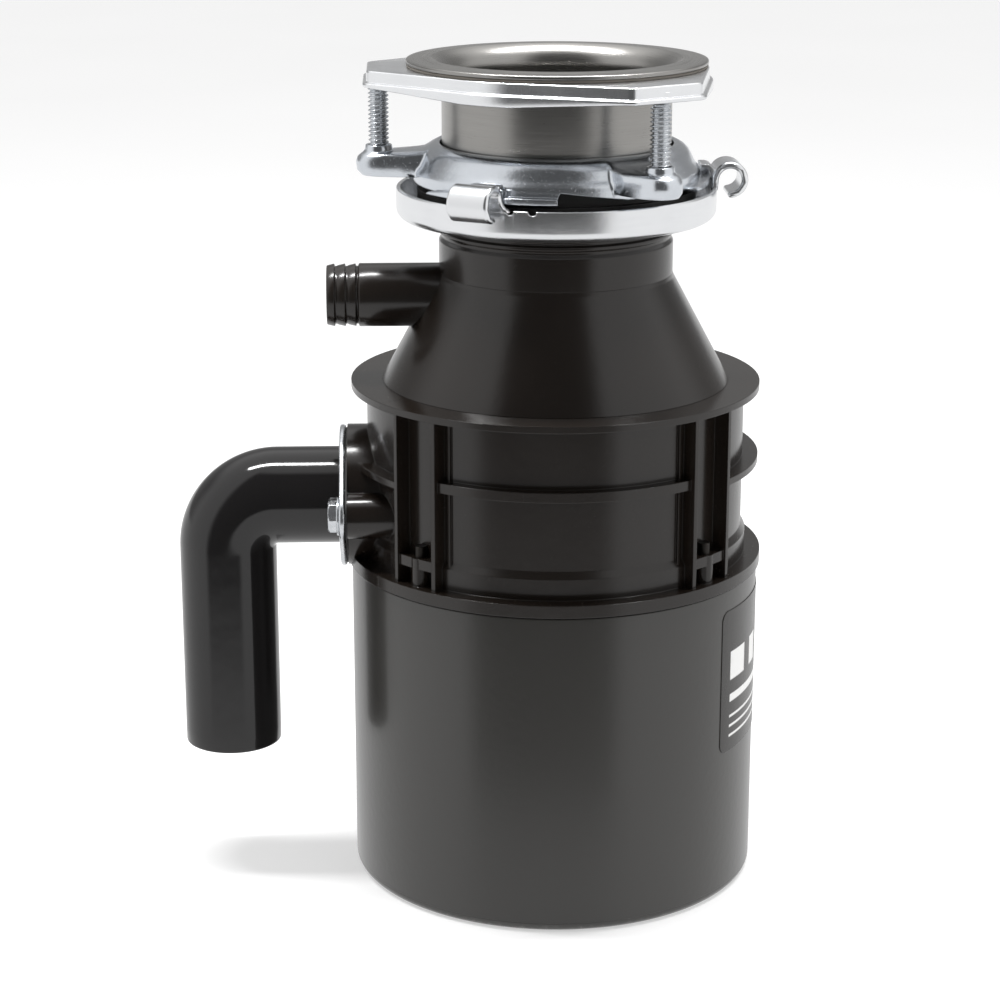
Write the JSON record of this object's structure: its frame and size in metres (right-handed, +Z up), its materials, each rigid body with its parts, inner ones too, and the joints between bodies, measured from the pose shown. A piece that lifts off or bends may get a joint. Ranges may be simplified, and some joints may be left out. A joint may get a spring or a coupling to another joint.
{
  "type": "kitchen garbage disposal",
  "caption": "Under-sink garbage disposal: motor can, flanged grind chamber with dishwasher inlet, bent drain tube and a twist-lock sink mount with clamp plate and sink flange.",
  "frame": {"origin": "on the motor axis, on the plane that the motor can's foot ring stands on", "axes": "+Z up along the motor axis to the sink; the drain outlet and the dishwasher inlet point along -X"},
  "size_m": [0.2294, 0.1626, 0.323],
  "materials": {
    "can_paint": "glossy dark grey-brown paint",
    "chamber_plastic": "moulded dark grey-brown, slightly orange-peeled gloss",
    "tube_plastic": "polished black",
    "cast_bright": "bright tumbled casting",
    "bright_steel": "bright plated pressing",
    "sink_stainless": "turned and brushed stainless steel",
    "zinc_steel": "bright zinc plate",
    "blackened_steel": "black oxide",
    "fiber": "pressed fibre sheet",
    "black_rubber": "matt moulded rubber",
    "bronze": "sintered bronze",
    "copper_winding": "enamelled copper wire",
    "core_steel": "stacked laminations",
    "cast_aluminium": "as-cast",
    "galvanised_steel": "galvanised spangle",
    "shaft_steel": "ground steel",
    "reset_red": "moulded red",
    "ground_green": "green dyed plating",
    "relay_plastic": "moulded black",
    "label_film": "printed film"
  },
  "bodies": {
    "disposer": {"motor_can": "can_paint", "can_base": "can_paint", "side_label": "label_film", "lower_end_frame": "cast_aluminium", "lower_bearing": "bronze", "thrust_washer": "bronze", "upper_bearing": "bronze", "stator_core": "core_steel", "lower_winding": "copper_winding", "upper_winding": "copper_winding", "upper_end_frame": "cast_aluminium", "upper_spacer": "cast_aluminium", "bearing_housing": "cast_aluminium", "shaft_seal": "black_rubber", "chamber_seal": "black_rubber", "motor_bolts": "zinc_steel", "housing_bolts": "blackened_steel", "wiring_cover": "zinc_steel", "wiring_cover_screw": "zinc_steel", "ground_screw": "ground_green", "start_relay": "relay_plastic", "overload_protector": "relay_plastic", "grind_ring": "galvanised_steel", "grind_chamber": "chamber_plastic", "chamber_cone": "chamber_plastic", "chamber_neck": "chamber_plastic", "outlet_boss": "chamber_plastic", "inlet_stub": "chamber_plastic", "drain_gasket": "black_rubber", "drain_clamp": "zinc_steel", "drain_bolts": "zinc_steel", "splash_guard": "black_rubber"},
    "rotor": {"shaft": "shaft_steel", "rotor_core": "core_steel", "rotor_end_rings": "cast_aluminium", "water_slinger": "black_rubber", "shredder_disc": "galvanised_steel", "disc_nut": "zinc_steel", "lug_rivets": "shaft_steel"},
    "swivel_lug_1": {"swivel_lug_1": "sink_stainless"},
    "swivel_lug_2": {"swivel_lug_2": "sink_stainless"},
    "reset_button": {"reset_button": "reset_red"},
    "drain_tube": {"drain_tube": "tube_plastic", "drain_bend": "tube_plastic", "drain_drop": "tube_plastic"},
    "support_ring": {"support_ring": "bright_steel", "hanger_right": "bright_steel", "hanger_back": "bright_steel", "hanger_front": "bright_steel"},
    "sink_mount": {"mounting_ring": "cast_bright", "snap_ring": "shaft_steel", "sink_flange": "sink_stainless", "sink_tube": "sink_stainless"},
    "sink_clamp": {"clamp_plate": "bright_steel", "fiber_gasket": "fiber"},
    "mounting_screw_1": {"mounting_screw_1": "zinc_steel"},
    "mounting_screw_2": {"mounting_screw_2": "zinc_steel"},
    "mounting_screw_3": {"mounting_screw_3": "zinc_steel"}
  },
  "joints": [
    {"name": "rotor_spin", "type": "hinge", "parent": "disposer", "child": "rotor", "pos_m": [0, 0, 0.1], "axis": [0, 0, 1], "continuous": true},
    {"name": "lug_1_swing", "type": "hinge", "parent": "rotor", "child": "swivel_lug_1", "pos_m": [0.03464, 0.02, 0.1755], "axis": [0, 0, 1], "continuous": true},
    {"name": "lug_2_swing", "type": "hinge", "parent": "rotor", "child": "swivel_lug_2", "pos_m": [-0.03464, -0.02, 0.1755], "axis": [0, 0, 1], "continuous": true},
    {"name": "reset_travel", "type": "slide", "parent": "disposer", "child": "reset_button", "axis": [0, 0, -1], "range_m": [0, 0.0028]},
    {"name": "drain_tube_turn", "type": "hinge", "parent": "disposer", "child": "drain_tube", "pos_m": [-0.0813, 0, 0.1523], "axis": [1, 0, 0], "range_deg": [-90, 90]},
    {"name": "ring_turn", "type": "hinge", "parent": "disposer", "child": "support_ring", "pos_m": [0, 0, 0.2685], "axis": [0, 0, 1], "range_deg": [-36, 0]},
    {"name": "mount_lift", "type": "slide", "parent": "disposer", "child": "sink_mount", "axis": [0, 0, 1], "range_m": [0, 0.00351]},
    {"name": "clamp_travel", "type": "slide", "parent": "sink_mount", "child": "sink_clamp", "axis": [0, 0, -1], "range_m": [0, 0.01]},
    {"name": "screw_1_travel", "type": "slide", "parent": "sink_mount", "child": "mounting_screw_1", "axis": [0, 0, -1], "range_m": [0, 0.01]},
    {"name": "screw_2_travel", "type": "slide", "parent": "sink_mount", "child": "mounting_screw_2", "axis": [0, 0, -1], "range_m": [0, 0.01]},
    {"name": "screw_3_travel", "type": "slide", "parent": "sink_mount", "child": "mounting_screw_3", "axis": [0, 0, -1], "range_m": [0, 0.01]}
  ],
  "couplings": [
    {"joint": "mount_lift", "follows": "ring_turn", "m_per_rad": -0.0055704},
    {"joint": "screw_1_travel", "follows": "clamp_travel", "ratio": 1},
    {"joint": "screw_2_travel", "follows": "clamp_travel", "ratio": 1},
    {"joint": "screw_3_travel", "follows": "clamp_travel", "ratio": 1}
  ]
}
